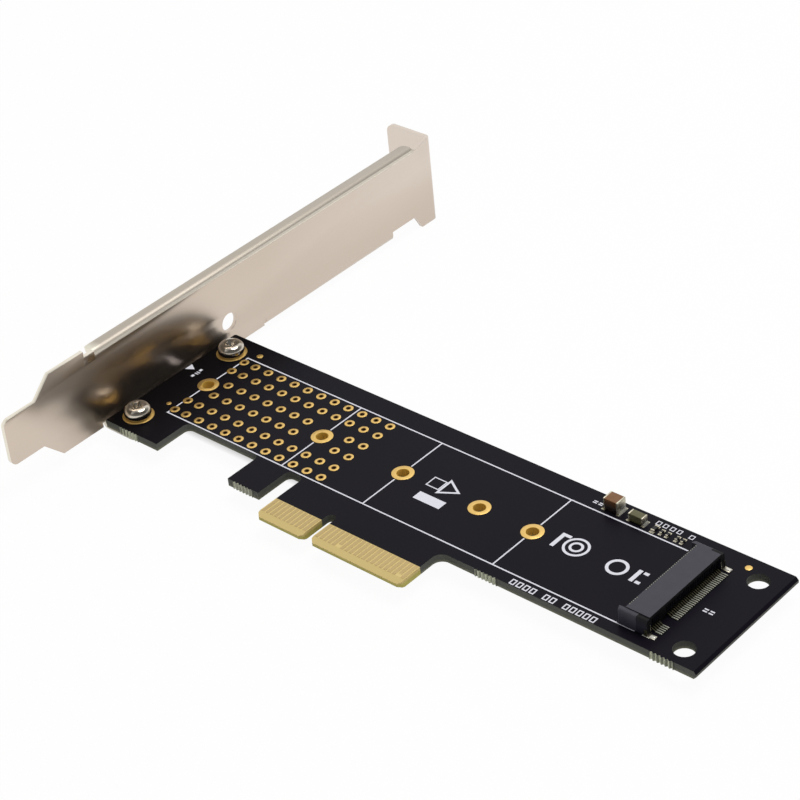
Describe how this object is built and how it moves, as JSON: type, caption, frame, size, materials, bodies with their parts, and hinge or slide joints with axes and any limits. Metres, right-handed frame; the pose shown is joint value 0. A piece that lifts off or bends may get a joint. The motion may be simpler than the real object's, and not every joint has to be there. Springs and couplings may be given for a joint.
{
  "type": "nvme adapter card",
  "caption": "Expansion-slot adapter card with a module socket, a stepped edge connector, plated standoff holes, a field of thermal vias and a folded full-height bracket.",
  "frame": {"origin": "centre of the standoff hole for the longest module, on the board's component face", "axes": "+X runs along the board from the bracket to the module socket, +Y away from the edge contacts, +Z out of the component face"},
  "size_m": [0.1449, 0.12, 0.0207],
  "materials": {
    "solder_mask": "black solder mask over glass laminate, satin",
    "gold_plating": "thin gold over copper, bright",
    "tinned_metal": "tin plated, soft shine",
    "printed_white": "white print, matt",
    "nickel_sheet": "nickel plated steel sheet, satin",
    "plated_steel": "nickel plated, bright",
    "socket_plastic": "moulded black, matt",
    "brown_ceramic": "brown sintered ceramic",
    "olive_ceramic": "olive sintered ceramic",
    "black_ceramic": "black glazed ceramic"
  },
  "bodies": {
    "root": {"circuit_board": "solder_mask", "edge_contacts_component_side": "gold_plating", "edge_contacts_solder_side": "gold_plating", "plated_holes": "gold_plating", "thermal_vias": "gold_plating", "fiducial_pads": "gold_plating", "component_lands": "tinned_metal", "silkscreen_outline": "printed_white", "bracket": "nickel_sheet", "bracket_screws": "plated_steel", "socket_housing": "socket_plastic", "socket_contacts_rear": "gold_plating", "socket_contacts_front": "gold_plating", "socket_hold_downs": "tinned_metal", "bulk_capacitor_body": "brown_ceramic", "bulk_capacitor_terminals": "tinned_metal", "bypass_capacitor_body": "olive_ceramic", "bypass_capacitor_terminals": "tinned_metal", "large_resistor_body": "black_ceramic", "large_resistor_terminals": "tinned_metal", "small_resistor_bodies": "brown_ceramic", "small_resistor_terminals": "tinned_metal"}
  },
  "joints": []
}
